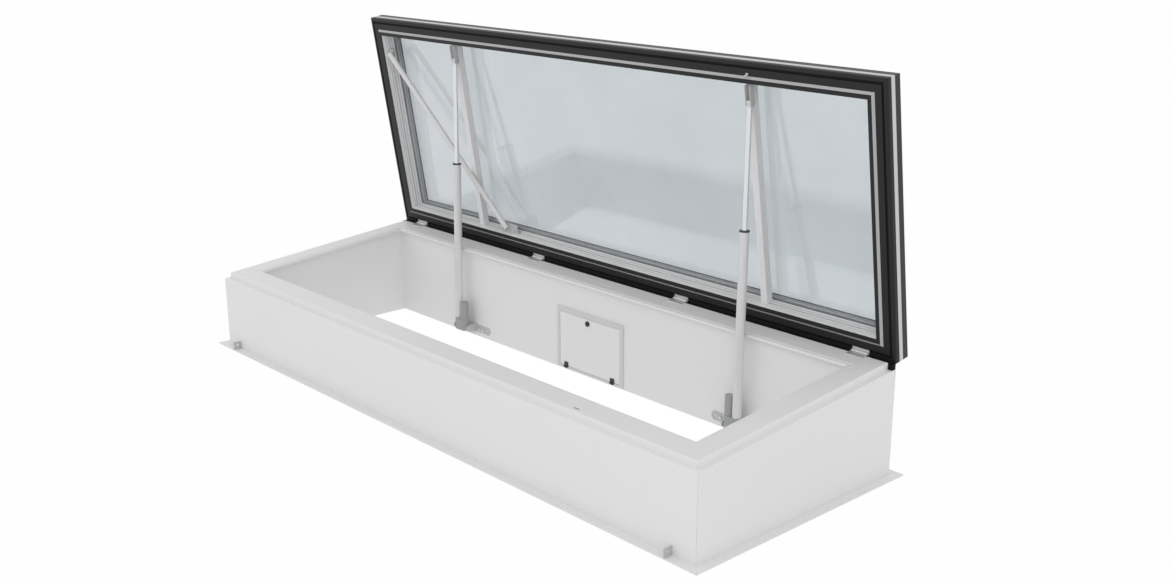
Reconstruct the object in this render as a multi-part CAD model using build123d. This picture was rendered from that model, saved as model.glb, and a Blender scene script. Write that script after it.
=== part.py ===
"""Glazed roof access hatch: an insulated sloping curb with a hinged triple-glazed lid.

Millimetres. X runs along the hatch, Y towards the hinge side, Z up. The origin is the centre of
the curb's footprint, on the underside of its roof flange. The lid stands open.
"""

from build123d import *
import math
import os

# Curb
CURB_LENGTH = 2900.0
CURB_WIDTH = 1000.0
FRONT_HEIGHT = 311.0  # roof flange to ledge, at the front wall
SLOPE_DEG = 5.0
SHEET = 2.5
BEND_RADIUS = 4.0
FLANGE_REACH = 36.0
FLANGE_THICKNESS = 5.0  # hemmed sheet
LEDGE_WIDTH = 20.0
RIM_RISE = 26.5
RIM_INNER = 105.0  # outer wall face to the step in the rim
LIP_INNER = 120.0
LIP_STEP = 2.0
LIP_HEIGHT = 12.0
LINER_FACE = 97.0
LINER_SHEET = 2.0
LINER_FOOT_GAP = 0.5
FOAM_GAP = 1.5
SEAT_GAP = 0.05

# Lid
LID_LENGTH = 2900.0
LID_WIDTH = 1009.0
LID_OPEN_DEG = 81.0  # above the horizontal
HINGE_Y = 492.3
HINGE_Z = 424.9
HINGE_IN = 7.6  # lid's back edge to the hinge axis
HINGE_BELOW = 6.2  # lid's underside to the hinge axis
GLASS_EDGE = 62.0
GLASS_BOTTOM = 53.0
PANES = (6.0, 4.0, 6.0)
PANE_GAP = 10.0
FRAME_ROUNDING = 7.0
SEAL_GROOVE = (14.5, 24.5, 6.0)  # from and to, in from the edge, and depth
LIP_DROP = 6.2  # gasket below the lid's underside
REVEAL_LOW = (80.5, 17.5)  # sloping inner face, which the bars butt on: in from the edge, height
REVEAL_HIGH = (88.0, 51.0)
REVEAL_WALL = 2.5
REVEAL_LINES = (24.0, 30.0, 36.0)
LINE_SIZE = 1.2
SPACER_BAND = (70.0, 95.5)

# Hinges
HINGE_X = (-1304.0, -434.0, 434.0, 1304.0)
KNUCKLE_RADIUS = 5.8
KNUCKLE_RELIEF = 0.5
HINGE_PIN_RADIUS = 2.0
PIN_HEAD_RADIUS = 4.2
RUNNING_GAP = 0.3
LEAF = 2.5
LEAF_SPAN = (-36.0, 36.0)
LOWER_LEAF = 37.0
UPPER_LEAF = 15.0
LOWER_KNUCKLES = ((-36.0, -22.0), (15.0, 32.0))
UPPER_KNUCKLES = ((-21.0, 14.0),)
HINGE_RINGS = (-21.9, 14.1, 32.1)
RING_WIDTH = 0.8

# Bars, brace and drives, one side after the other
BAR_X = {"left": -846.0, "right": 851.0}
BAR_SIZE = 30.0
BAR_WALL = 2.0
BAR_FACE = 18.0  # lid's underside to the bar's face
DRIVE_X = {"left": -842.0, "right": 862.0}
TOWARD_MIDDLE = {"left": 1.0, "right": -1.0}
BASE_Y = 354.0
BASE_Z = 45.0
TOP_PIN_U = 862.0
TOP_PIN_V = 6.0
TUBE_RADIUS = 18.0
TUBE_BORE = 16.0
TUBE_BOTTOM = 42.0  # along the drive, from its base pivot
TUBE_TOP = 759.0
TUBE_FLOOR = 200.0
GUIDE_DEPTH = 30.0
GUIDE_RING = 5.0
GUIDE_RING_RADIUS = 19.5
ROD_RADIUS = 10.5
ROD_LENGTH = 541.0
PISTON = 12.0
EYE_RADIUS = 10.0
EYE_WIDTH = 16.0
EYE_NECK = 6.5
STUB_RADIUS = 4.0
STUB_LENGTH = 18.0
MOTOR_OFFSET = 37.5
MOTOR_RADIUS = 18.8
MOTOR_TOP = 122.0
HOUSING_RADIUS = 19.5
HOUSING_BOTTOM = -15.0
PIVOT_RADIUS = 6.0
CHEEK = 3.0
CHEEK_INNER = 9.5  # drive's centre to each top cheek's inner face
BRACE_SIZE = (29.0, 22.0)  # flat oval tube
BRACE_WALL = 2.0
BRACE_START = (-1350.0, 845.0, 6.9)  # x, distance from the hinge edge, height over the underside
BRACE_END = (-650.0, 102.0, 6.9)

# Access door in the back liner wall
DOOR_FRAME = (405.0, 272.0)
DOOR_FRAME_BOTTOM = 8.0
DOOR_PANEL = (368.0, 240.0)
DOOR_PANEL_BOTTOM = 18.0
DOOR_GAP = 1.5
DOOR_PROUD = 7.0
DOOR_RECESS = (350.0, 236.0, 70.0)
DOOR_HINGE_X = (-143.0, 143.0)
DOOR_AXIS_Y = 391.0
DOOR_AXIS_Z = 16.0
KNOB_X = -9.0
KNOB_Z = 239.0
KNOB_RADIUS = 11.5
LOCK_DEPTH = 6.0

# Lifting lugs and lock
LUG_X = 1348.0
LUG_SIZE = (36.0, 33.0)
LUG_THICKNESS = 4.0
LUG_HOLE = 6.5
KEEP_X = 863.0
TONGUE_IN = 46.5  # lid's front edge to the middle of its lock tongue
KEEP_SLOT = (30.0, 6.0)
TONGUE_SIZE = (10.0, 3.0, 14.0)

SLOPE = math.tan(math.radians(SLOPE_DEG))
HALF_LENGTH = CURB_LENGTH / 2
HALF_WIDTH = CURB_WIDTH / 2
RIM_FACE = FRONT_HEIGHT + RIM_RISE
GLASS_TOP = GLASS_BOTTOM + sum(PANES) + 2 * PANE_GAP
COVER_TOP = GLASS_TOP + 3.5
TALL = 4 * CURB_WIDTH


def slope_rise(y):
    """How much higher the sloping rim stands at y than at the front wall."""
    return SLOPE * (y + HALF_WIDTH)


def lid_plane():
    """The open lid's frame: X along the hatch, Y back towards the hinge edge, Z out of the top."""
    angle = math.radians(LID_OPEN_DEG)
    inward = (0.0, -math.cos(angle), math.sin(angle))
    outward = (0.0, math.sin(angle), math.cos(angle))
    y = HINGE_Y - HINGE_IN * inward[1] + HINGE_BELOW * outward[1]
    z = HINGE_Z - HINGE_IN * inward[2] + HINGE_BELOW * outward[2]
    return Plane(origin=(0, y, z), x_dir=(1, 0, 0), z_dir=outward)


LID = lid_plane()
TOP_PIN = LID.from_local_coords(Vector(0, -TOP_PIN_U, TOP_PIN_V))
DRIVE_REACH = math.hypot(TOP_PIN.Y - BASE_Y, TOP_PIN.Z - BASE_Z)
KEEP_Y = HINGE_Y - (LID_WIDTH - TONGUE_IN - HINGE_IN) * math.cos(math.radians(SLOPE_DEG))


def outline(*points):
    """A face from its corner points in the XY plane."""
    return make_face(Polyline(*points, close=True))


def block(x, y, z):
    """A box from its three (low, high) ranges."""
    size = (x[1] - x[0], y[1] - y[0], z[1] - z[0])
    middle = ((x[0] + x[1]) / 2, (y[0] + y[1]) / 2, (z[0] + z[1]) / 2)
    return Pos(*middle) * Box(*size)


def along_x(face, low, high):
    """A YZ section, drawn in the XY plane as (y, z), run from low to high along X."""
    return extrude(Plane(origin=(low, 0, 0), x_dir=(0, 1, 0), z_dir=(1, 0, 0)) * face, amount=high - low)


def mitred(bar, side, length, width):
    """A frame's side, cut at 45 degrees through the frame's two corners on that side."""
    x, y = length / 2, width / 2
    corners = {"front": ((-x, -y), (x, -y)), "back": ((x, y), (-x, y))}
    corners.update(left=((-x, y), (-x, -y)), right=((x, -y), (x, y)))
    start, end = (Vector(*corner) for corner in corners[side])
    run = (end - start).normalized()
    inward = Vector(0, 0, 1).cross(run)
    bar = split(bar, bisect_by=Plane(origin=start, z_dir=run - inward), keep=Keep.TOP)
    return split(bar, bisect_by=Plane(origin=end, z_dir=-run - inward), keep=Keep.TOP)


def moved_path(points, distance):
    """A path's points moved sideways by a distance, to its left where that is positive."""
    spots = [Vector(*point) for point in points]
    runs = [(after - before).normalized() for before, after in zip(spots, spots[1:])]
    sides = [Vector(-run.Y, run.X) for run in runs]
    moved = [spots[0] + sides[0] * distance]
    for spot, before, after in zip(spots[1:], sides, sides[1:]):
        moved.append(spot + (before + after) * (distance / (1 + before.dot(after))))
    return moved + [spots[-1] + sides[-1] * distance]


def bent_strip(points, radii, thickness):
    """The section of a sheet bent along a middle line, with that line's radius at each bend."""
    spots = [Vector(*point) for point in points]
    runs = [after - before for before, after in zip(spots, spots[1:])]
    turns = [1 if before.cross(after).Z > 0 else -1 for before, after in zip(runs, runs[1:])]
    half = thickness / 2
    left = FilletPolyline(*moved_path(points, half), radius=[r - half * t for r, t in zip(radii, turns)])
    right = FilletPolyline(*moved_path(points, -half), radius=[r + half * t for r, t in zip(radii, turns)])
    ends = [Line(left @ 0, right @ 0), Line(left @ 1, right @ 1)]
    return make_face(left.edges() + right.edges() + ends)


def curb_fold(tilt):
    """The curb sheet's folded section, wall foot to hidden return, as (inward, height) points."""
    middle = SHEET / 2
    under = RIM_FACE - LIP_STEP
    path = [
        (middle, -TALL / 4),
        (middle, FRONT_HEIGHT - middle),
        (LEDGE_WIDTH + middle, FRONT_HEIGHT - middle),
        (LEDGE_WIDTH + middle, RIM_FACE - middle),
        (RIM_INNER, RIM_FACE - middle),
        (RIM_INNER + LIP_STEP, under - middle),
        (LIP_INNER - middle, under - middle),
        (LIP_INNER - middle, under - LIP_HEIGHT + middle),
        (LINER_FACE - LINER_SHEET, under - LIP_HEIGHT + middle),
    ]
    bend = BEND_RADIUS - middle
    radii = [bend, bend, bend, middle + 0.2, middle + 0.2, bend, bend]
    return bent_strip([(w, z + tilt * w) for w, z in path], radii, SHEET)


def curb_wall(side):
    """One folded sheet of the curb, mitred at its corners, with its hemmed roof flange."""
    above = block((-TALL, TALL), (-TALL, TALL), (0, TALL))
    x, y = HALF_LENGTH, HALF_WIDTH
    if side in ("front", "back"):
        sign = 1 if side == "front" else -1
        section = Plane(origin=(-x, -sign * y, 0), x_dir=(0, sign, 0), z_dir=(sign, 0, 0))
        face = section * curb_fold(sign * SLOPE)
        if sign < 0:
            face = Pos(0, 0, slope_rise(y)) * face
        fold = extrude(face, amount=CURB_LENGTH, dir=(1, 0, 0))
        edge = -sign * (y + FLANGE_REACH)
        ends = sorted((edge, -sign * (y - SHEET)))
        flange = block((-TALL, TALL), ends, (0, FLANGE_THICKNESS))
    else:
        sign = 1 if side == "left" else -1
        section = Plane(origin=(-sign * x, -y, 0), x_dir=(sign, 0, 0), z_dir=(0, -sign, 0))
        run = Vector(0, CURB_WIDTH, CURB_WIDTH * SLOPE)
        fold = extrude(section * curb_fold(0), amount=run.length, dir=run)
        edge = -sign * (x + FLANGE_REACH)
        ends = sorted((edge, -sign * (x - SHEET)))
        flange = block(ends, (-TALL, TALL), (0, FLANGE_THICKNESS))
    return mitred((fold & above) + flange, side, CURB_LENGTH, CURB_WIDTH)


def sloping_ring(outer, inner, bottom, top_drop):
    """A plain ring between two insets, from a level bottom up to top_drop under the rim's face."""
    x, y = HALF_LENGTH, HALF_WIDTH
    ring = Rectangle(2 * (x - outer), 2 * (y - outer)) - Rectangle(2 * (x - inner), 2 * (y - inner))
    top = RIM_FACE - top_drop
    side = outline((-y, bottom), (y, bottom), (y, top + slope_rise(y)), (-y, top))
    return extrude(ring, amount=TALL / 4) & along_x(side, -x, x)


def curb_insulation():
    """Foam that fills the curb, with the pockets for the access door's tray and the keep."""
    gap = LIP_STEP + LIP_HEIGHT
    skin = SHEET + FOAM_GAP
    core = sloping_ring(skin, LINER_FACE - LINER_SHEET, FLANGE_THICKNESS, gap + LEDGE_WIDTH)
    crown = sloping_ring(LEDGE_WIDTH + skin, LINER_FACE - LINER_SHEET, FRONT_HEIGHT / 2, gap + FOAM_GAP)
    y = HALF_WIDTH
    under = FRONT_HEIGHT - skin
    below_ledge = outline((-y, 0), (y, 0), (y, under + slope_rise(y)), (-y, under))
    limit = along_x(below_ledge, -HALF_LENGTH, HALF_LENGTH)
    width, height, depth = DOOR_RECESS
    low = DOOR_PANEL_BOTTOM + (DOOR_PANEL[1] - height) / 2
    wall = HALF_WIDTH - LINER_FACE
    tray = block((-width / 2, width / 2), (wall, wall + depth), (low, low + height))
    keep = block((KEEP_X - 22, KEEP_X + 22), (KEEP_Y - 11, KEEP_Y + 11), (RIM_FACE - 24, RIM_FACE + 20))
    return (core & limit) + crown - tray - keep


def curb_liner():
    """Inner lining sheet with an outward foot, cut out behind the access door."""
    drop = LIP_STEP + LIP_HEIGHT + SEAT_GAP
    wall = sloping_ring(LINER_FACE - LINER_SHEET, LINER_FACE, LINER_FOOT_GAP, drop)
    x, y = HALF_LENGTH, HALF_WIDTH
    foot = Rectangle(2 * (x - 2 * SHEET), 2 * (y - 2 * SHEET))
    foot -= Rectangle(2 * (x - LINER_FACE), 2 * (y - LINER_FACE))
    wall += Pos(0, 0, LINER_FOOT_GAP) * extrude(foot, amount=LINER_SHEET)
    width, height, _ = DOOR_RECESS
    low = DOOR_PANEL_BOTTOM + (DOOR_PANEL[1] - height) / 2
    return wall - block((-width / 2, width / 2), (y - LINER_FACE - 5, y), (low, low + height))


def recess_tray():
    """Open sheet tray in the curb behind the access door."""
    width, height, depth = DOOR_RECESS
    low = DOOR_PANEL_BOTTOM + (DOOR_PANEL[1] - height) / 2
    wall = HALF_WIDTH - LINER_FACE
    outer = block((-width / 2, width / 2), (wall, wall + depth), (low, low + height))
    t = 1.5
    across = (-width / 2 + t, width / 2 - t)
    return outer - block(across, (wall, wall + depth - t), (low + t, low + height - t))


def lifting_lugs():
    """Four eye plates that stand on the flange against the front and back walls."""
    width, height = LUG_SIZE
    plate = Pos(width / 2, height / 2) * RectangleRounded(width, height, 5)
    plate += Pos(width / 4, height / 2) * Rectangle(width / 2, height)
    plate += Pos(width / 2, height / 4) * Rectangle(width, height / 2)
    plate -= Pos(width / 2, height * 0.55) * Circle(LUG_HOLE)
    eye = along_x(plate, -LUG_THICKNESS / 2, LUG_THICKNESS / 2)
    back = Pos(0, HALF_WIDTH, FLANGE_THICKNESS) * eye
    pair = back + mirror(back, about=Plane.XZ)
    return [Pos(sign * LUG_X, 0, 0) * solid for sign in (-1, 1) for solid in pair.solids()]


def lock_keep():
    """Folded keep under the slot in the front rim."""
    top = RIM_FACE + slope_rise(KEEP_Y - 9) - SHEET - 2 * SEAT_GAP
    outer = block((KEEP_X - 20, KEEP_X + 20), (KEEP_Y - 9, KEEP_Y + 9), (top - 18, top))
    return outer - block((KEEP_X - 18, KEEP_X + 18), (KEEP_Y - 7, KEEP_Y + 7), (top - 16, top))


def keep_slot():
    """The slot itself, as a cutting body."""
    return Pos(KEEP_X, KEEP_Y, RIM_FACE - 10) * extrude(SlotOverall(*KEEP_SLOT), amount=30)


def hinge_seal():
    """Black rubber block that fills the back ledge under the hinges, up to the open lid's edge."""
    low, high = HALF_WIDTH - LEDGE_WIDTH, HALF_WIDTH - BEND_RADIUS
    ledge = FRONT_HEIGHT + SEAT_GAP
    relief = 2.0
    top = HINGE_Z - KNUCKLE_RADIUS - 0.9
    lip = HALF_WIDTH - 1.4
    section = outline(
        (low, ledge + slope_rise(low) + relief),
        (low + relief, ledge + slope_rise(low + relief)),
        (high, ledge + slope_rise(high)),
        (high + BEND_RADIUS - 1, ledge + slope_rise(high) + relief),
        (lip, top + 1),
        (lip - 1.2, top + 1),
        (lip - 2.4, top),
        (low, top),
    )
    return along_x(section, -HALF_LENGTH + 1, HALF_LENGTH - 1)


# Hinges

def knuckles(spans, leaf_face):
    """Knuckles over the given spans with one leaf, whose section is given around the axis."""
    body = along_x(leaf_face - Circle(KNUCKLE_RADIUS + KNUCKLE_RELIEF), *LEAF_SPAN)
    for low, high in spans:
        body += along_x(leaf_face + Circle(KNUCKLE_RADIUS), low, high)
    return body - along_x(Circle(HINGE_PIN_RADIUS + RUNNING_GAP), LEAF_SPAN[0] - 1, LEAF_SPAN[1] + 1)


def lower_leaves():
    """Fixed hinge halves: each leaf lies on the sloping rim."""
    foot = RIM_FACE + slope_rise(HINGE_Y) - HINGE_Z + SEAT_GAP
    far = foot - SLOPE * LOWER_LEAF
    leaf = outline((0, foot), (-LOWER_LEAF, far), (-LOWER_LEAF, far + LEAF), (0, foot + LEAF))
    half = knuckles(LOWER_KNUCKLES, leaf)
    return [Pos(x, HINGE_Y, HINGE_Z) * half for x in HINGE_X]


def upper_leaves():
    """Moving hinge halves: each leaf lies under the lid's back edge, in the lid's frame."""
    top, low = HINGE_BELOW, HINGE_BELOW - LEAF
    leaf = outline((0, top), (0, low), (-UPPER_LEAF, low), (-UPPER_LEAF, top))
    half = knuckles(UPPER_KNUCKLES, leaf)
    return [LID.location * (Pos(x, -HINGE_IN, -HINGE_BELOW) * half) for x in HINGE_X]


def hinge_pins():
    """Pins with a head at each end."""
    low, high = LEAF_SPAN[0] - 0.2, HINGE_RINGS[-1] + RING_WIDTH + 0.2
    head = RegularPolygon(PIN_HEAD_RADIUS, 12)
    pin = along_x(Circle(HINGE_PIN_RADIUS), low, high)
    pin += along_x(head, low - 1.5, low) + along_x(head, high, high + 3)
    return [Pos(x, HINGE_Y, HINGE_Z) * pin for x in HINGE_X]


def hinge_rings():
    """Brass washers beside the knuckles."""
    ring = RegularPolygon(KNUCKLE_RADIUS - 0.2, 12) - RegularPolygon(HINGE_PIN_RADIUS + 0.3, 8)
    rings = [along_x(ring, low, low + RING_WIDTH) for low in HINGE_RINGS]
    return [Pos(x, HINGE_Y, HINGE_Z) * each for x in HINGE_X for each in rings]


# Lid frame, in the lid's own frame: (distance in from the edge, height over the underside)

def reveal_in(height):
    """The sloping inner face's distance in from the lid's edge, at a height over the underside."""
    (low_in, low), (high_in, high) = REVEAL_LOW, REVEAL_HIGH
    return low_in + (height - low) * (high_in - low_in) / (high - low)


def frame_section(side):
    """Dark hollow frame profile with its seal groove, seat for the reveal and glass rebate."""
    start, end, depth = SEAL_GROOVE
    seat = 21
    top = REVEAL_HIGH[1]
    body = outline(
        (0, 0), (start, 0), (start, depth), (end, depth), (end, 0), (72.5, 0), (72.5, seat),
        (reveal_in(seat) - REVEAL_WALL, seat), (reveal_in(top) - REVEAL_WALL, top),
        (58, top), (58, 64), (2.5, 64), (2.5, seat), (0, seat),
    )
    if side != "back":
        body = fillet(body.vertices().sort_by(lambda corner: corner.X + corner.Y)[0], FRAME_ROUNDING)
    wall = 2.5
    body -= outline(
        (3, 9.5), (9.5, 3), (start - wall, 3), (start - wall, depth + wall),
        (end + wall, depth + wall), (end + wall, 3), (40, 3), (40, seat), (3, seat),
    )
    for low, high in (((43, 3), (69.5, 21)), ((5.5, 24), (43, 48)), ((5.5, 51), (55, 61))):
        body -= outline(low, (high[0], low[1]), high, (low[0], high[1]))
    return body - outline((46, 24), (76.5, 24), (81.5, 48), (46, 48))


def reveal_points():
    """Light inner profile: gasket lip, lower face, shadow groove and lined sloping face."""
    lines = []
    for low in REVEAL_LINES:
        high = low + LINE_SIZE
        inner = (reveal_in(low) - LINE_SIZE, low), (reveal_in(high) - LINE_SIZE, high)
        lines += [(reveal_in(low), low), *inner, (reveal_in(high), high)]
    lower = [(72.5, 0), (74.5, 0), (74.5, -4), (76.5, -4), (79, 15), (75.5, 15), (75.5, 17.5)]
    seat, top = 21, REVEAL_HIGH[1]
    back = [(reveal_in(top) - REVEAL_WALL, top), (reveal_in(seat) - REVEAL_WALL, seat), (72.5, seat)]
    return lower + [REVEAL_LOW, *lines, REVEAL_HIGH] + back


def cover_section():
    """Black cover: upright side, sloping top and the flat edge that holds the glass."""
    return outline(
        (0, 40.5), (2.5, 40.5), (2.5, 68), (57, GLASS_TOP + 1), (97, GLASS_TOP + 1), (97, COVER_TOP),
        (58, COVER_TOP), (1.5, 70), (0, 68.5),
    )


def lid_side(section, side):
    """One mitred side of the lid, run from a section, placed on the open lid."""
    x, y = LID_LENGTH / 2, LID_WIDTH / 2
    if side in ("front", "back"):
        sign = 1 if side == "front" else -1
        plane = Plane(origin=(-sign * x, -sign * y, 0), x_dir=(0, sign, 0), z_dir=(sign, 0, 0))
        run = extrude(plane * section, amount=LID_LENGTH)
    else:
        sign = 1 if side == "left" else -1
        plane = Plane(origin=(-sign * x, sign * y, 0), x_dir=(sign, 0, 0), z_dir=(0, -sign, 0))
        run = extrude(plane * section, amount=LID_WIDTH)
    return LID.location * (Pos(0, -y, 0) * mitred(run, side, LID_LENGTH, LID_WIDTH))


def lid_ring(*points):
    """A mitred ring all round the lid from one small section."""
    section = outline(*points)
    ring = None
    for side in ("front", "back", "left", "right"):
        part = lid_side(section, side)
        ring = part if ring is None else ring + part
    return ring


def pane(low, thickness):
    """One sheet of glass."""
    length, width = LID_LENGTH - 2 * GLASS_EDGE, LID_WIDTH - 2 * GLASS_EDGE
    return LID.location * (Pos(0, -LID_WIDTH / 2, low + thickness / 2) * Box(length, width, thickness))


def spacers():
    """Spacer frames between the panes."""
    low, high = SPACER_BAND
    rings = []
    bottom = GLASS_BOTTOM + PANES[0]
    for thickness in PANES[1:]:
        top = bottom + PANE_GAP
        rings.append(lid_ring((low, bottom), (high, bottom), (high, top), (low, top)))
        bottom = top + thickness
    return rings


def glass_gaskets():
    """Rubber under and over the glass."""
    under = lid_ring((78, 51), (90, 51), (91, GLASS_BOTTOM), (78, GLASS_BOTTOM))
    over = lid_ring((86, GLASS_TOP), (97, GLASS_TOP), (97, GLASS_TOP + 1), (86, GLASS_TOP + 1))
    return [under, over]


def bar(side):
    """Square tube across the lid that carries a drive, its ends cut to the sloping reveal."""
    x, low, high = BAR_X[side], BAR_FACE, BAR_FACE + BAR_SIZE
    near, far = (reveal_in(low), low), (reveal_in(high), high)
    side_face = outline(
        (-near[0], low), (-far[0], high), (far[0] - LID_WIDTH, high), (near[0] - LID_WIDTH, low)
    )
    half, inner = BAR_SIZE / 2, BAR_SIZE / 2 - BAR_WALL
    hollow = block((x - inner, x + inner), (-LID_WIDTH, 0), (low + BAR_WALL, high - BAR_WALL))
    return LID.location * (along_x(side_face, x - half, x + half) - hollow)


def oval_rod(start, end, size):
    """An oval bar between two points of one height, wider across than it is high."""
    run = Vector(*end) - Vector(*start)
    plane = Plane(origin=start, x_dir=(run.Y, -run.X, 0), z_dir=run)
    return extrude(plane * Ellipse(size[0] / 2, size[1] / 2), amount=run.length)


def brace():
    """Flat oval tube across the left bay."""
    start = (BRACE_START[0], -BRACE_START[1], BRACE_START[2])
    end = (BRACE_END[0], -BRACE_END[1], BRACE_END[2])
    inner = [size - 2 * BRACE_WALL for size in BRACE_SIZE]
    return LID.location * (oval_rod(start, end, BRACE_SIZE) - oval_rod(start, end, inner))


def brace_brackets():
    """Folded end brackets of the brace, each with its bolt."""
    sheet, low, high = 3.0, BAR_FACE, BAR_FACE + 26
    half, bolt = 20.0, Cylinder(7, 5, align=(Align.CENTER, Align.CENTER, Align.MIN))

    def fold(reach):
        """Bracket section against the reveal: (distance in from the edge, height)."""
        wall = [(reveal_in(low + sheet) + sheet, low + sheet), (reveal_in(high) + sheet, high)]
        return [(reveal_in(low), low), (reach, low), (reach, low + sheet), *wall, (reveal_in(high), high)]

    x, u, _ = BRACE_START
    edge = -LID_LENGTH / 2
    face = outline(*[(edge + w, v) for w, v in fold(x - edge + 16)])
    top = extrude(Plane(origin=(0, half - u, 0), x_dir=(1, 0, 0), z_dir=(0, -1, 0)) * face, amount=2 * half)
    top += Pos(x + 4, 4 - u, low + sheet) * bolt
    x, u, _ = BRACE_END
    face = outline(*[(-w, v) for w, v in fold(u + 22)])
    bottom = along_x(face, x - 14, x + 62) + Pos(x + 48, 2 - u, low - 5) * bolt
    return [LID.location * top, LID.location * bottom]


def drive_bracket(side):
    """Two tapering cheeks and a web that carry the drive's top pin on the bar."""
    pin_y, pin_z = -TOP_PIN_U, TOP_PIN_V
    edge = reveal_in(BAR_FACE) - LID_WIDTH + 3
    cheek = outline(
        (edge, BAR_FACE), (edge, -5.5), (pin_y - 21, -5.5), (pin_y + 8, pin_z - 10),
        (pin_y + 11, pin_z - 7), (pin_y + 11, BAR_FACE),
    )
    x = DRIVE_X[side]
    web_end = pin_y - EYE_RADIUS - 3
    body = block((x - CHEEK_INNER, x + CHEEK_INNER), (edge, web_end), (BAR_FACE - CHEEK, BAR_FACE))
    head = Pos(pin_y, pin_z) * RegularPolygon(5.5, 6)
    for sign in (-1, 1):
        inner, outer = sorted((x + sign * CHEEK_INNER, x + sign * (CHEEK_INNER + CHEEK)))
        body += along_x(cheek, inner, outer)
        face = x + sign * (CHEEK_INNER + CHEEK)
        body += along_x(head, *sorted((face, face + sign * 3)))
    return LID.location * body


def lock_tongue():
    """Tongue on the lid's front flange that drops into the keep."""
    middle = LID_WIDTH - TONGUE_IN
    width, thickness, depth = TONGUE_SIZE
    half, tip = width / 2, width / 2 - 2
    nose = [(half, 4 - depth), (tip, -depth), (-tip, -depth), (-half, 4 - depth)]
    plate = outline((-half, 0), (half, 0), *nose)
    face = Plane(origin=(KEEP_X, thickness / 2 - middle, 0), x_dir=(1, 0, 0), z_dir=(0, -1, 0))
    foot = block((KEEP_X - half, KEEP_X + half), (-middle - 7, thickness / 2 - middle), (-2, 0))
    return LID.location * (extrude(face * plate, amount=thickness) + foot)


# Drives, built upright at their base pivot

def drive_place(side):
    """From the upright drive at its pivot to its open position."""
    lean = math.degrees(math.atan2(TOP_PIN.Y - BASE_Y, TOP_PIN.Z - BASE_Z))
    return Pos(DRIVE_X[side], BASE_Y, BASE_Z) * Rot(-lean, 0, 0)


def gear_housing(side):
    """Housing that holds the tube and the motor side by side and turns on the base pin."""
    beside = Pos(TOWARD_MIDDLE[side] * MOTOR_OFFSET, 0)
    plan = make_hull(Circle(HOUSING_RADIUS).edges() + (beside * Circle(HOUSING_RADIUS)).edges())
    body = Pos(0, 0, HOUSING_BOTTOM) * extrude(plan, amount=TUBE_BOTTOM - HOUSING_BOTTOM)
    body = chamfer(body.faces().sort_by(Axis.Z)[0].edges(), 4)
    body -= along_x(Circle(PIVOT_RADIUS + RUNNING_GAP), -100, 100)
    return drive_place(side) * body


def motor(side):
    """Motor can beside the tube."""
    place = Pos(TOWARD_MIDDLE[side] * MOTOR_OFFSET, 0, TUBE_BOTTOM)
    can = place * extrude(Circle(MOTOR_RADIUS), amount=MOTOR_TOP - TUBE_BOTTOM)
    return drive_place(side) * chamfer(can.faces().sort_by(Axis.Z)[-1].edges(), 2)


def drive_tube(side):
    """White outer tube, closed below the rod's travel."""
    tube = Pos(0, 0, TUBE_BOTTOM) * extrude(Circle(TUBE_RADIUS), amount=TUBE_TOP - TUBE_BOTTOM)
    tube -= Pos(0, 0, TUBE_FLOOR) * extrude(Circle(TUBE_BORE), amount=TUBE_TOP)
    return drive_place(side) * tube


def rod_guide(side):
    """Black guide in the tube's mouth with its wider end ring."""
    plug = Pos(0, 0, TUBE_TOP - GUIDE_DEPTH) * extrude(Circle(TUBE_BORE), amount=GUIDE_DEPTH)
    ring = Pos(0, 0, TUBE_TOP) * extrude(Circle(GUIDE_RING_RADIUS), amount=GUIDE_RING)
    ring = chamfer(ring.faces().sort_by(Axis.Z)[-1].edges(), 1.5)
    bore = Pos(0, 0, TUBE_FLOOR) * extrude(Circle(ROD_RADIUS + RUNNING_GAP), amount=TUBE_TOP)
    return drive_place(side) * (plug + ring - bore)


def push_rod(side):
    """Sliding rod with its piston."""
    low = DRIVE_REACH - ROD_LENGTH
    rod = Pos(0, 0, low) * extrude(Circle(ROD_RADIUS), amount=ROD_LENGTH - EYE_RADIUS - EYE_NECK)
    rod += Pos(0, 0, low) * extrude(Circle(TUBE_BORE - RUNNING_GAP), amount=PISTON)
    return drive_place(side) * rod


def rod_eye(side):
    """Eye on the rod's end with its short cross pin between the bracket's cheeks."""
    half = EYE_WIDTH / 2
    eye = along_x(Circle(EYE_RADIUS), -half, half)
    eye += block((-half, half), (-STUB_RADIUS - 3, STUB_RADIUS + 3), (-EYE_RADIUS - EYE_NECK, 0))
    eye += along_x(Circle(STUB_RADIUS), -STUB_LENGTH / 2, STUB_LENGTH / 2)
    return drive_place(side) * (Pos(0, 0, DRIVE_REACH) * eye)


def base_bracket(side):
    """Wall plate with a round eye end and two cheeks that carry the drive's base pin."""
    toward = TOWARD_MIDDLE[side]
    wall = HALF_WIDTH - LINER_FACE
    x = abs(DRIVE_X[side])
    eye_x, inner_x, outer_x = x - 148, x - MOTOR_OFFSET - 24.5, x + 24.5
    z_mid = BASE_Z - 7
    plate = Pos(-(outer_x + eye_x) / 2, z_mid) * Rectangle(outer_x - eye_x, 34)
    plate += Pos(-eye_x, z_mid) * Circle(19)
    plate -= Pos(-eye_x, z_mid) * Circle(7)
    plate = extrude(Plane(origin=(0, wall, 0), x_dir=(1, 0, 0), z_dir=(0, -1, 0)) * plate, amount=3)
    root = outline((wall - 3, 21), (wall, 21), (wall, 59), (wall - 3, 59))
    ear = make_hull((Pos(BASE_Y, BASE_Z) * Circle(14)).edges() + root.edges())
    ear -= Pos(BASE_Y, BASE_Z) * Circle(PIVOT_RADIUS + RUNNING_GAP)
    plate += along_x(ear, -inner_x - 2, -inner_x + 2) + along_x(ear, -outer_x - 2, -outer_x + 2)
    return plate if toward > 0 else mirror(plate, about=Plane.YZ)


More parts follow.
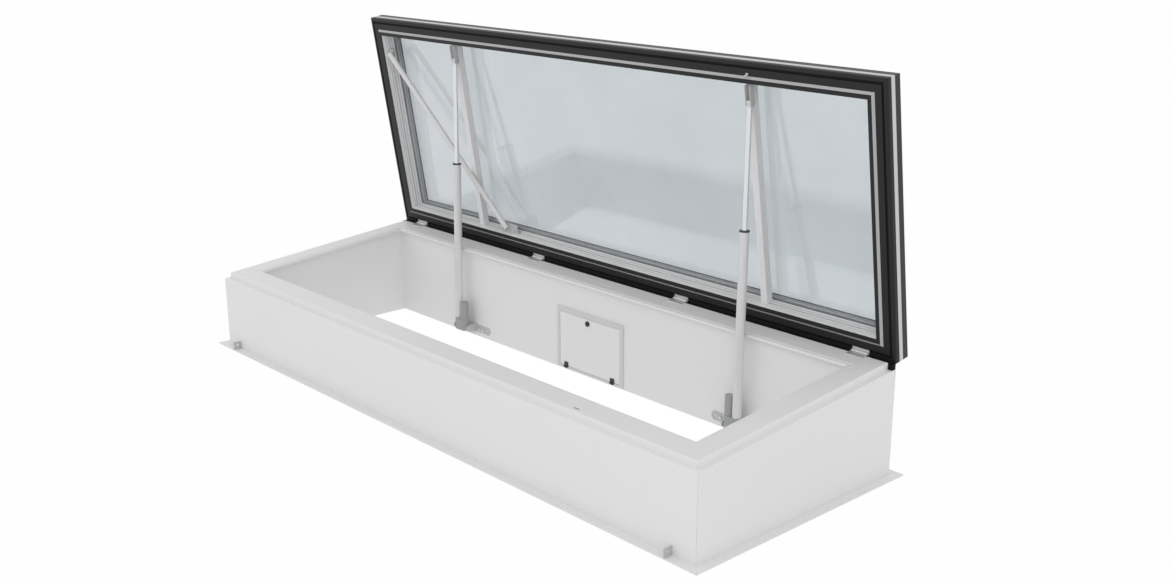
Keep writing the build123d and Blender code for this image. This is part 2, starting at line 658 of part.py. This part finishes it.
def base_pins():
    """The drives' base pins, with heads outside the cheeks."""
    pins = []
    head = RegularPolygon(9, 12)
    for side, x in DRIVE_X.items():
        toward = TOWARD_MIDDLE[side]
        low, high = sorted((-toward * (abs(x) + 30), -toward * (abs(x) - MOTOR_OFFSET - 30)))
        pin = along_x(Circle(PIVOT_RADIUS), low, high)
        pin += along_x(head, low - 3, low) + along_x(head, high, high + 3)
        pins.append(Pos(0, BASE_Y, BASE_Z) * pin)
    return pins


def wall_bolts():
    """Bolt heads that hold the base brackets to the liner wall."""
    bolts = []
    wall = HALF_WIDTH - LINER_FACE - 3
    for side, x in DRIVE_X.items():
        toward = TOWARD_MIDDLE[side]
        for inset in (92.0, 120.0):
            place = Plane(origin=(x + toward * inset, wall, BASE_Z - 7), z_dir=(0, -1, 0))
            bolts.append(extrude(place * RegularPolygon(7, 6), amount=5))
    return bolts


# Access door

def door_frame():
    """Folded frame round the door, on the liner."""
    width, height = DOOR_FRAME
    open_width, open_height = DOOR_PANEL[0] + 2 * DOOR_GAP, DOOR_PANEL[1] + 2 * DOOR_GAP
    wall = HALF_WIDTH - LINER_FACE
    middle = DOOR_FRAME_BOTTOM + height / 2
    panel_middle = DOOR_PANEL_BOTTOM + DOOR_PANEL[1] / 2
    ring = Pos(0, middle) * Rectangle(width, height)
    ring -= Pos(0, panel_middle) * Rectangle(open_width, open_height)
    frame = extrude(Plane(origin=(0, wall, 0), x_dir=(1, 0, 0), z_dir=(0, -1, 0)) * ring, amount=DOOR_PROUD)
    return chamfer(frame.faces().sort_by(Axis.Y)[0].outer_wire().edges(), 1.5)


def door_panel():
    """Door leaf: a sheet tray with folded edges, open to the back."""
    width, height = DOOR_PANEL
    wall = HALF_WIDTH - LINER_FACE
    back = wall - 0.5
    front = wall - DOOR_PROUD + 0.5
    low = DOOR_PANEL_BOTTOM
    leaf = block((-width / 2, width / 2), (front, back), (low, low + height))
    leaf = fillet(leaf.faces().sort_by(Axis.Y)[0].edges(), 1)
    leaf -= block((-width / 2 + 1.5, width / 2 - 1.5), (front + 1.5, back), (low + 1.5, low + height - 1.5))
    return leaf - Pos(KNOB_X, wall, KNOB_Z) * Rot(90, 0, 0) * Cylinder(6, 30)


def door_hinges(moving):
    """Small black leaf hinges below the door: fixed halves or moving halves."""
    pieces = []
    front = HALF_WIDTH - LINER_FACE - DOOR_PROUD
    axis = Pos(0, DOOR_AXIS_Y, DOOR_AXIS_Z)
    for x in DOOR_HINGE_X:
        if moving:
            back = front + 0.5 - DOOR_AXIS_Y
            leaf = outline((0, 0), (back - 1, 0), (back, 2.5), (back, 20), (2, 20), (0, 17))
            spans = ((-10.0, -3.5), (3.5, 10.0))
        else:
            leaf = outline((0, 0), (front - DOOR_AXIS_Y, 0), (front - DOOR_AXIS_Y, -7.5), (1, -7.5), (-3, -3))
            spans = ((-3.2, 3.2),)
        half = None
        for low, high in spans:
            piece = along_x(RegularPolygon(4.2, 12) + leaf, low, high)
            piece -= along_x(Circle(2 + (RUNNING_GAP if moving else 0)), low - 1, high + 1)
            half = piece if half is None else half + piece
        if moving:
            half += along_x(leaf - Circle(4.6), -10, 10)
        else:
            half += along_x(Circle(2), -10.5, 10.5)
        pieces.append(Pos(x, 0, 0) * (axis * half))
    return pieces


def door_knob():
    """Round key lock with its cam inside the folded leaf."""
    front = HALF_WIDTH - LINER_FACE - DOOR_PROUD + 0.5
    place = Plane(origin=(KNOB_X, front, KNOB_Z), x_dir=(1, 0, 0), z_dir=(0, -1, 0))
    dome = extrude(place * Circle(KNOB_RADIUS), amount=6)
    dome = chamfer(dome.faces().sort_by(Axis.Y)[0].edges(), 1.5)
    dome -= extrude(place.offset(4) * Rectangle(2, 9), amount=5)
    shank = extrude(place.offset(-LOCK_DEPTH) * Circle(5.9), amount=LOCK_DEPTH)
    cam = extrude(place.offset(-LOCK_DEPTH) * (Pos(0, 3) * Rectangle(12, 20)), amount=3)
    return dome + shank + cam


def export(name, shape):
    """Write one node."""
    solids = shape if isinstance(shape, list) else [shape]
    children = [solid for piece in solids for solid in piece.solids()]
    export_step(children[0] if len(children) == 1 else Compound(children=children), f"parts/{name}.step")


def build():
    """Build and write every node."""
    os.makedirs("parts", exist_ok=True)
    slot = keep_slot()
    for side in ("front", "back", "left", "right"):
        wall = curb_wall(side)
        export(f"curb_{side}", wall - slot if side == "front" else wall)
        export(f"lid_frame_{side}", lid_side(frame_section(side), side))
        export(f"lid_cover_{side}", lid_side(cover_section(), side))
    export("curb_insulation", curb_insulation())
    export("curb_liner", curb_liner())
    export("recess_tray", recess_tray())
    export("lifting_lugs", lifting_lugs())
    export("lock_keep", lock_keep())
    export("hinge_seal", hinge_seal())
    export("hinge_leaves_lower", lower_leaves())
    export("hinge_leaves_upper", upper_leaves())
    export("hinge_pins", hinge_pins())
    export("hinge_rings", hinge_rings())
    export("side_strip", lid_ring((0, 21), (2.5, 21), (2.5, 40.5), (0, 40.5)))
    start, end, depth = SEAL_GROOVE
    export("groove_seal", lid_ring((start, 2), (end, 2), (end, depth), (start, depth)))
    export("lid_reveal", lid_ring(*reveal_points()))
    export("lip_bead", lid_ring((51, 0), (60, -LIP_DROP), (60, 0)))
    lip = [(60, 0), (60, -LIP_DROP), (76.5, 0.7 - LIP_DROP), (76.5, -4), (74.5, -4), (74.5, 0)]
    export("lip_gasket", lid_ring(*lip))
    export("glass_gaskets", glass_gaskets())
    low = GLASS_BOTTOM
    for name, thickness in zip(("inner", "middle", "outer"), PANES):
        export(f"pane_{name}", pane(low, thickness))
        low += thickness + PANE_GAP
    export("spacers", spacers())
    export("brace", brace())
    export("brace_brackets", brace_brackets())
    export("lock_tongue", lock_tongue())
    export("base_pins", base_pins())
    export("wall_bolts", wall_bolts())
    for side in DRIVE_X:
        export(f"bar_{side}", bar(side))
        export(f"drive_bracket_{side}", drive_bracket(side))
        export(f"base_bracket_{side}", base_bracket(side))
        export(f"gear_housing_{side}", gear_housing(side))
        export(f"motor_{side}", motor(side))
        export(f"drive_tube_{side}", drive_tube(side))
        export(f"rod_guide_{side}", rod_guide(side))
        export(f"push_rod_{side}", push_rod(side))
        export(f"rod_eye_{side}", rod_eye(side))
    export("door_frame", door_frame())
    export("door_panel", door_panel())
    export("door_hinges_fixed", door_hinges(False))
    export("door_hinges_moving", door_hinges(True))
    export("door_knob", door_knob())


build()
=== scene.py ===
"""Roof access hatch with an open glazed lid: materials, floor, lights and camera.

Metres, in the model's frame: X along the hatch, Y towards the hinge side, Z up from the flange.
"""

import math

import bpy
from mathutils import Matrix, Vector


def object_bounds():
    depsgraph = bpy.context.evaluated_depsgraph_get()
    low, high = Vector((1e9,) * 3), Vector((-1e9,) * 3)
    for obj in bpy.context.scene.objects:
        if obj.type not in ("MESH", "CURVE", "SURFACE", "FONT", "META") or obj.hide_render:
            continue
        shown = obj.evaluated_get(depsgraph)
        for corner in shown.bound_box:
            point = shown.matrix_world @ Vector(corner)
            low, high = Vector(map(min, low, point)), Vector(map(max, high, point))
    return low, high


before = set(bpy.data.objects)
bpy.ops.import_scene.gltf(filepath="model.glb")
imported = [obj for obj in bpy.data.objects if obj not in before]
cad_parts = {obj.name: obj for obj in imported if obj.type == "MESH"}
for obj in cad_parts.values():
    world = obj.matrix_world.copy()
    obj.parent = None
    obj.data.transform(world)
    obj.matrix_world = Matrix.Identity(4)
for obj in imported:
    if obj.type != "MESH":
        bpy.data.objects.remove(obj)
cad_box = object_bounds()

# Camera, from the photograph's perspective
IMAGE_WIDTH = 1170
FOCAL_PIXELS = 1347.4
SENSOR_WIDTH = 36.0
CAMERA_PLACE = Vector((3.9534, -3.2584, 1.9876))
CAMERA_YAW = math.radians(-47.429)
CAMERA_PITCH = math.radians(16.633)
CAMERA_ROLL = math.radians(-0.084)
CAMERA_REACH = 100

# Lamps, in metres and watts
LAMP_TARGET = (0, 0, 0.4)
KEY_PLACE = (5.5, -4.5, 5.0)
KEY_SIZE = 4.0
KEY_POWER = 66.0
FILL_PLACE = (-5.0, -5.0, 4.0)
FILL_SIZE = 5.0
FILL_POWER = 26.0

# World and floor: a strength of 1 is white
WHITE = (1, 1, 1, 1)
WHITE_STRENGTH = 1.0
DOME_STRENGTH = 0.84
FLOOR_HALF = (30.0, 30.0)
ROOF_OPENING_HALF = (1.353, 0.403)
FLOOR_DROP = 0.0005
FLOOR_WHITE = 0.95
FLOOR_GLOW = 0.96

# Colours, as linear values
WHITE_PAINT = (0.785, 0.785, 0.788)
# The door frame's white paint, darkened as painted shade for the recess it sits in
DOOR_FRAME_SHADED_WHITE = (0.64, 0.64, 0.642)
BAR_WHITE = (0.79, 0.79, 0.795)
TUBE_WHITE = (0.68, 0.68, 0.685)
# The rod's metal tone, partly its own and partly lightened as a painted sheen for the highlight
# along its side
ROD_METAL_AND_SHEEN = (0.73, 0.74, 0.755)
FRAME_GREY = (0.0105, 0.011, 0.012)
COVER_BLACK = (0.014, 0.0145, 0.0155)
RUBBER_BLACK = (0.004, 0.004, 0.004)
PLASTIC_BLACK = (0.012, 0.012, 0.012)
REVEAL_METAL = (0.76, 0.77, 0.775)
# Painted shade for the reveal's shadow lines
REVEAL_PAINTED_SHADE = (0.2, 0.205, 0.21)
STRIP_METAL = (0.58, 0.585, 0.59)
STRIPE_GREY = (0.42, 0.42, 0.425)
ZINC = (0.62, 0.63, 0.64)
DRIVE_GREY = (0.335, 0.34, 0.345)
BRACKET_GREY = (0.5, 0.505, 0.51)
SPACER_GREY = (0.7, 0.725, 0.74)
GLAZING_GREY = (0.22, 0.225, 0.23)
BRASS = (0.62, 0.46, 0.2)
FOAM = (0.75, 0.7, 0.55)
CLEAR_TINT = (0.95, 0.96, 0.965)
COATED_TINT = (0.60, 0.635, 0.65)

# Surface grain
TONE_SPAN = (0.3, 0.7)
GLOSS_SWING = 0.06
COAT_RELIEF = 0.0004
DRAWN_SCALE = 8.0
DRAWN_STRETCH = (1.0, 60.0, 60.0)
DRAWN_BUMP = 0.08
DRAWN_RELIEF = 0.0003
EDGE_SAMPLES = 4

# The open lid's underside plane
LID_OPEN = math.radians(81)
LID_NORMAL = Vector((0, math.sin(LID_OPEN), math.cos(LID_OPEN)))
HINGE_AXIS = (0, 0.4923, 0.4249)
AXIS_TO_LID = 0.0062
LID_HEIGHT = LID_NORMAL.dot(HINGE_AXIS) + AXIS_TO_LID

# Each painted shadow line on the reveal, standing in for the shade of its grooves: height over
# that plane, half width and share of painted shade
PAINTED_SHADE_LINES = ((0.0275, 0.0016, 0.65), (0.040, 0.0022, 0.25))


# Materials

def new_material(name):
    """An empty node material and its node tree."""
    material = bpy.data.materials.new(name)
    material.use_nodes = True
    material.node_tree.nodes.clear()
    return material, material.node_tree


def add(tree, kind, **values):
    """A node with its socket values set by name."""
    node = tree.nodes.new(kind)
    for key, value in values.items():
        node.inputs[key.replace("_", " ")].default_value = value
    return node


def calculate(tree, operation):
    """A maths node."""
    node = tree.nodes.new("ShaderNodeMath")
    node.operation = operation
    return node


def mixed(tree, share, first, second):
    """Two shaders, mixed by a socket's value."""
    mix = tree.nodes.new("ShaderNodeMixShader")
    tree.links.new(share, mix.inputs[0])
    tree.links.new(first.outputs[0], mix.inputs[1])
    tree.links.new(second.outputs[0], mix.inputs[2])
    return mix


def speckle(tree, scale, detail=3.0):
    """Fine noise in the object's own coordinates."""
    coordinates = tree.nodes.new("ShaderNodeTexCoord")
    noise = add(tree, "ShaderNodeTexNoise", Scale=scale, Detail=detail, Roughness=0.6)
    tree.links.new(coordinates.outputs["Object"], noise.inputs["Vector"])
    return noise


def tone(tree, noise, colour, spread):
    """A colour that varies by a small share along the noise."""
    ramp = tree.nodes.new("ShaderNodeValToRGB")
    dark, light = ramp.color_ramp.elements
    dark.position, light.position = TONE_SPAN
    dark.color = (*[c * (1 - spread) for c in colour], 1)
    light.color = (*[min(1, c * (1 + spread)) for c in colour], 1)
    tree.links.new(noise.outputs["Fac"], ramp.inputs["Fac"])
    return ramp


def finish_with(tree, shader):
    """Connect a shader to the material's output."""
    output = tree.nodes.new("ShaderNodeOutputMaterial")
    tree.links.new(shader.outputs[0], output.inputs["Surface"])


def bevelled(tree, relief, radius):
    """Softened edges under a material's relief."""
    edge = add(tree, "ShaderNodeBevel", Radius=radius)
    edge.samples = EDGE_SAMPLES
    tree.links.new(edge.outputs["Normal"], relief.inputs["Normal"])


def coated(name, colour, roughness, grain, spread=0.03, bump=0.05, metallic=0.0, specular=0.5,
           edge=0.0):
    """Paint, plastic, rubber or metal with a fine grain in its colour, gloss and surface."""
    material, tree = new_material(name)
    noise = speckle(tree, grain)
    ramp = tone(tree, noise, colour, spread)
    shader = add(tree, "ShaderNodeBsdfPrincipled", Metallic=metallic, Specular_IOR_Level=specular)
    tree.links.new(ramp.outputs["Color"], shader.inputs["Base Color"])
    span = add(tree, "ShaderNodeMapRange", To_Min=max(0.0, roughness - GLOSS_SWING),
               To_Max=min(1.0, roughness + GLOSS_SWING))
    tree.links.new(noise.outputs["Fac"], span.inputs["Value"])
    tree.links.new(span.outputs["Result"], shader.inputs["Roughness"])
    relief = add(tree, "ShaderNodeBump", Strength=bump, Distance=COAT_RELIEF)
    if edge:
        bevelled(tree, relief, edge)
    tree.links.new(noise.outputs["Fac"], relief.inputs["Height"])
    tree.links.new(relief.outputs["Normal"], shader.inputs["Normal"])
    finish_with(tree, shader)
    return material


def with_painted_shade_lines(tree, coordinates, colour, shade):
    """The colour, with painted shade along the reveal's shadow lines."""
    height = tree.nodes.new("ShaderNodeVectorMath")
    height.operation = "DOT_PRODUCT"
    height.inputs[1].default_value = LID_NORMAL
    tree.links.new(coordinates.outputs["Object"], height.inputs[0])
    lines = None
    # Each band is painted shade, not a mark on the metal
    for middle, half, share in PAINTED_SHADE_LINES:
        near = calculate(tree, "COMPARE")
        near.inputs[1].default_value = LID_HEIGHT + middle
        near.inputs[2].default_value = half
        tree.links.new(height.outputs["Value"], near.inputs[0])
        total = calculate(tree, "MULTIPLY_ADD")
        total.inputs[1].default_value = share
        total.inputs[2].default_value = 0
        tree.links.new(near.outputs[0], total.inputs[0])
        if lines:
            tree.links.new(lines.outputs[0], total.inputs[2])
        lines = total
    mix = add(tree, "ShaderNodeMixRGB", Color2=(*shade, 1))
    tree.links.new(lines.outputs[0], mix.inputs["Fac"])
    tree.links.new(colour.outputs["Color"], mix.inputs["Color1"])
    return mix


def extruded(name, colour, roughness, spread=0.03, shade=None):
    """Pale metal drawn through a die: fine lines along its length, and painted shadow lines where
    a shade is given.
    """
    material, tree = new_material(name)
    coordinates = tree.nodes.new("ShaderNodeTexCoord")
    stretch = add(tree, "ShaderNodeMapping", Scale=DRAWN_STRETCH)
    tree.links.new(coordinates.outputs["Object"], stretch.inputs["Vector"])
    noise = add(tree, "ShaderNodeTexNoise", Scale=DRAWN_SCALE, Detail=4.0, Roughness=0.55)
    tree.links.new(stretch.outputs["Vector"], noise.inputs["Vector"])
    ramp = tone(tree, noise, colour, spread)
    # Painted shade along the reveal's shadow lines
    if shade:
        ramp = with_painted_shade_lines(tree, coordinates, ramp, shade)
    shader = add(tree, "ShaderNodeBsdfPrincipled", Roughness=roughness)
    tree.links.new(ramp.outputs["Color"], shader.inputs["Base Color"])
    relief = add(tree, "ShaderNodeBump", Strength=DRAWN_BUMP, Distance=DRAWN_RELIEF)
    tree.links.new(noise.outputs["Fac"], relief.inputs["Height"])
    tree.links.new(relief.outputs["Normal"], shader.inputs["Normal"])
    finish_with(tree, shader)
    return material


def clear_glass(name, tint, index):
    """Pane glass that lets light through for shadows, with a faint unevenness in its tint."""
    material, tree = new_material(name)
    noise = speckle(tree, 3.0, detail=2.0)
    ramp = tone(tree, noise, tint, 0.01)
    shader = add(tree, "ShaderNodeBsdfPrincipled", Roughness=0.0, IOR=index,
                 Transmission_Weight=1.0)
    tree.links.new(ramp.outputs["Color"], shader.inputs["Base Color"])
    see_through = add(tree, "ShaderNodeBsdfTransparent", Color=(*tint, 1))
    rays = tree.nodes.new("ShaderNodeLightPath")
    finish_with(tree, mixed(tree, rays.outputs["Is Shadow Ray"], shader, see_through))
    return material


def seen_rays(tree):
    """One where a ray comes from the camera, a mirror reflection or through glass."""
    rays = tree.nodes.new("ShaderNodeLightPath")
    direct = calculate(tree, "MAXIMUM")
    tree.links.new(rays.outputs["Is Camera Ray"], direct.inputs[0])
    tree.links.new(rays.outputs["Is Glossy Ray"], direct.inputs[1])
    seen = calculate(tree, "MAXIMUM")
    tree.links.new(direct.outputs[0], seen.inputs[0])
    tree.links.new(rays.outputs["Is Transmission Ray"], seen.inputs[1])
    return seen.outputs[0]


def floor_material():
    """White floor that keeps the hatch's shadow."""
    material, tree = new_material("floor_white")
    noise = speckle(tree, 2.0)
    ramp = tone(tree, noise, (FLOOR_WHITE,) * 3, 0.005)
    matt = add(tree, "ShaderNodeBsdfDiffuse")
    tree.links.new(ramp.outputs["Color"], matt.inputs["Color"])
    glow = add(tree, "ShaderNodeEmission", Color=WHITE, Strength=WHITE_STRENGTH)
    share = calculate(tree, "MULTIPLY")
    share.inputs[1].default_value = FLOOR_GLOW
    tree.links.new(seen_rays(tree), share.inputs[0])
    finish_with(tree, mixed(tree, share.outputs[0], matt, glow))
    return material


PAINT = coated("white_powder_coat", WHITE_PAINT, 0.42, 900.0, spread=0.035, bump=0.25,
               specular=0.35, edge=0.0012)
# The same white paint, darker: painted shade in the door's recess
SHADED_DOOR_FRAME = coated("door_frame_painted_shade", DOOR_FRAME_SHADED_WHITE, 0.45, 900.0, spread=0.035, bump=0.2,
                    specular=0.35)
BAR = coated("white_bar", BAR_WHITE, 0.35, 500.0, spread=0.02, bump=0.1, specular=0.4)
TUBE = coated("white_tube_gloss", TUBE_WHITE, 0.2, 260.0, spread=0.01, bump=0.03)
# Polished rod whose colour also carries a painted sheen
ROD = coated("polished_rod", ROD_METAL_AND_SHEEN, 0.16, 260.0, spread=0.02, bump=0.02, metallic=0.9)
FRAME = coated("frame_graphite", FRAME_GREY, 0.5, 1100.0, spread=0.12, bump=0.2, specular=0.3,
               edge=0.0006)
COVER = coated("cover_black", COVER_BLACK, 0.45, 900.0, spread=0.12, bump=0.2, specular=0.4,
               edge=0.0006)
RUBBER = coated("seal_rubber", RUBBER_BLACK, 0.7, 500.0, spread=0.2, bump=0.15, specular=0.15)
PLASTIC = coated("black_plastic", PLASTIC_BLACK, 0.4, 700.0, spread=0.1, bump=0.1)
# The reveal's aluminium, with painted shadow lines for its grooves
REVEAL = extruded("light_aluminium", REVEAL_METAL, 0.5, shade=REVEAL_PAINTED_SHADE)
STRIP = extruded("strip_aluminium", STRIP_METAL, 0.5)
STRIPE = extruded("grey_bead", STRIPE_GREY, 0.45)
STEEL = coated("zinc_plated", ZINC, 0.34, 320.0, spread=0.08, bump=0.08, metallic=0.5)
GREY = coated("drive_grey", DRIVE_GREY, 0.42, 500.0, spread=0.04, bump=0.1)
BRACKET = coated("bracket_grey", BRACKET_GREY, 0.4, 400.0, spread=0.05, bump=0.1)
SPACER = extruded("spacer_bar", SPACER_GREY, 0.5)
GLAZING = coated("glazing_seal", GLAZING_GREY, 0.6, 500.0, spread=0.1, bump=0.1, specular=0.2)
RING = coated("brass", BRASS, 0.3, 300.0, spread=0.06, bump=0.03, metallic=0.9)
FOAM_CORE = coated("foam_core", FOAM, 0.85, 220.0, spread=0.08, bump=0.5)
INNER_GLASS = clear_glass("inner_pane", CLEAR_TINT, index=1.32)
MIDDLE_GLASS = clear_glass("middle_pane", CLEAR_TINT, index=1.16)
OUTER_GLASS = clear_glass("coated_pane", COATED_TINT, index=1.75)

FINISHES = {
    "curb_": PAINT, "curb_insulation": FOAM_CORE, "recess_tray": PAINT, "door_frame": SHADED_DOOR_FRAME,
    "door_panel": PAINT, "lifting_lugs": BRACKET, "lock_keep": STEEL, "hinge_seal": RUBBER,
    "hinge_leaves": STEEL, "hinge_pins": STEEL, "hinge_rings": RING, "base_pins": STEEL,
    "wall_bolts": STEEL, "base_bracket": BRACKET, "door_hinges": PLASTIC, "door_knob": PLASTIC,
    "lid_frame": FRAME, "lid_cover": COVER, "lid_reveal": REVEAL, "side_strip": STRIP,
    "groove_seal": RUBBER, "lip_bead": STRIPE, "lip_gasket": FRAME, "glass_gaskets": GLAZING,
    "pane_inner": INNER_GLASS, "pane_middle": MIDDLE_GLASS, "pane_outer": OUTER_GLASS,
    "spacers": SPACER, "brace": TUBE, "brace_brackets": BRACKET, "lock_tongue": STRIP, "bar_": BAR,
    "drive_bracket": BRACKET, "gear_housing": GREY, "motor": GREY, "drive_tube": TUBE,
    "rod_guide": PLASTIC, "push_rod": ROD, "rod_eye": STEEL,
}


def finish_for(node):
    """The finish whose key is the longest start of the node's name."""
    return FINISHES[max((key for key in FINISHES if node.startswith(key)), key=len)]


def dress_nodes():
    """Give every CAD node its material."""
    for name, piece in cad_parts.items():
        piece.data.materials.clear()
        piece.data.materials.append(finish_for(name))


# Floor, lights and camera

def make_floor():
    """A wide level floor under the flange, open below the hatch as the roof is."""
    mesh = bpy.data.meshes.new("floor")
    height = cad_box[0][2] - FLOOR_DROP
    corners = []
    for half_x, half_y in (FLOOR_HALF, ROOF_OPENING_HALF):
        corners += [(-half_x, -half_y), (half_x, -half_y), (half_x, half_y), (-half_x, half_y)]
    sides = [(i, (i + 1) % 4, (i + 1) % 4 + 4, i + 4) for i in range(4)]
    mesh.from_pydata([(x, y, height) for x, y in corners], [], sides)
    mesh.materials.append(floor_material())
    floor = bpy.data.objects.new("floor", mesh)
    bpy.context.scene.collection.objects.link(floor)


def make_world():
    """Even dome light, plain white where it is seen."""
    world = bpy.data.worlds.new("studio")
    world.use_nodes = True
    bpy.context.scene.world = world
    tree = world.node_tree
    tree.nodes.clear()
    dome = add(tree, "ShaderNodeBackground", Color=WHITE, Strength=DOME_STRENGTH)
    backdrop = add(tree, "ShaderNodeBackground", Color=WHITE, Strength=WHITE_STRENGTH)
    mix = mixed(tree, seen_rays(tree), dome, backdrop)
    output = tree.nodes.new("ShaderNodeOutputWorld")
    tree.links.new(mix.outputs[0], output.inputs["Surface"])


def add_lamp(name, place, size, power):
    """A square soft light that looks at the hatch's middle."""
    lamp = bpy.data.lights.new(name, "AREA")
    lamp.shape = "SQUARE"
    lamp.size = size
    lamp.energy = power
    piece = bpy.data.objects.new(name, lamp)
    piece.location = place
    aim = Vector(LAMP_TARGET) - Vector(place)
    piece.rotation_euler = aim.to_track_quat("-Z", "Y").to_euler()
    bpy.context.scene.collection.objects.link(piece)


def make_camera():
    """The photograph's viewpoint."""
    data = bpy.data.cameras.new("camera")
    data.sensor_width = SENSOR_WIDTH
    data.lens = FOCAL_PIXELS * SENSOR_WIDTH / IMAGE_WIDTH
    data.clip_end = CAMERA_REACH
    camera = bpy.data.objects.new("camera", data)
    sin_yaw, cos_yaw = math.sin(CAMERA_YAW), math.cos(CAMERA_YAW)
    sin_pitch, cos_pitch = math.sin(CAMERA_PITCH), math.cos(CAMERA_PITCH)
    forward = Vector((sin_yaw * cos_pitch, cos_yaw * cos_pitch, -sin_pitch))
    level = Vector((cos_yaw, -sin_yaw, 0))
    above = level.cross(forward)
    right = level * math.cos(CAMERA_ROLL) + above * math.sin(CAMERA_ROLL)
    up = above * math.cos(CAMERA_ROLL) - level * math.sin(CAMERA_ROLL)
    turn = Matrix((right, up, -forward)).transposed().to_4x4()
    camera.matrix_world = Matrix.Translation(CAMERA_PLACE) @ turn
    bpy.context.scene.collection.objects.link(camera)
    bpy.context.scene.camera = camera


dress_nodes()
make_floor()
make_world()
add_lamp("key", KEY_PLACE, KEY_SIZE, KEY_POWER)
add_lamp("fill", FILL_PLACE, FILL_SIZE, FILL_POWER)
make_camera()
bpy.context.scene.view_settings.view_transform = "Standard"
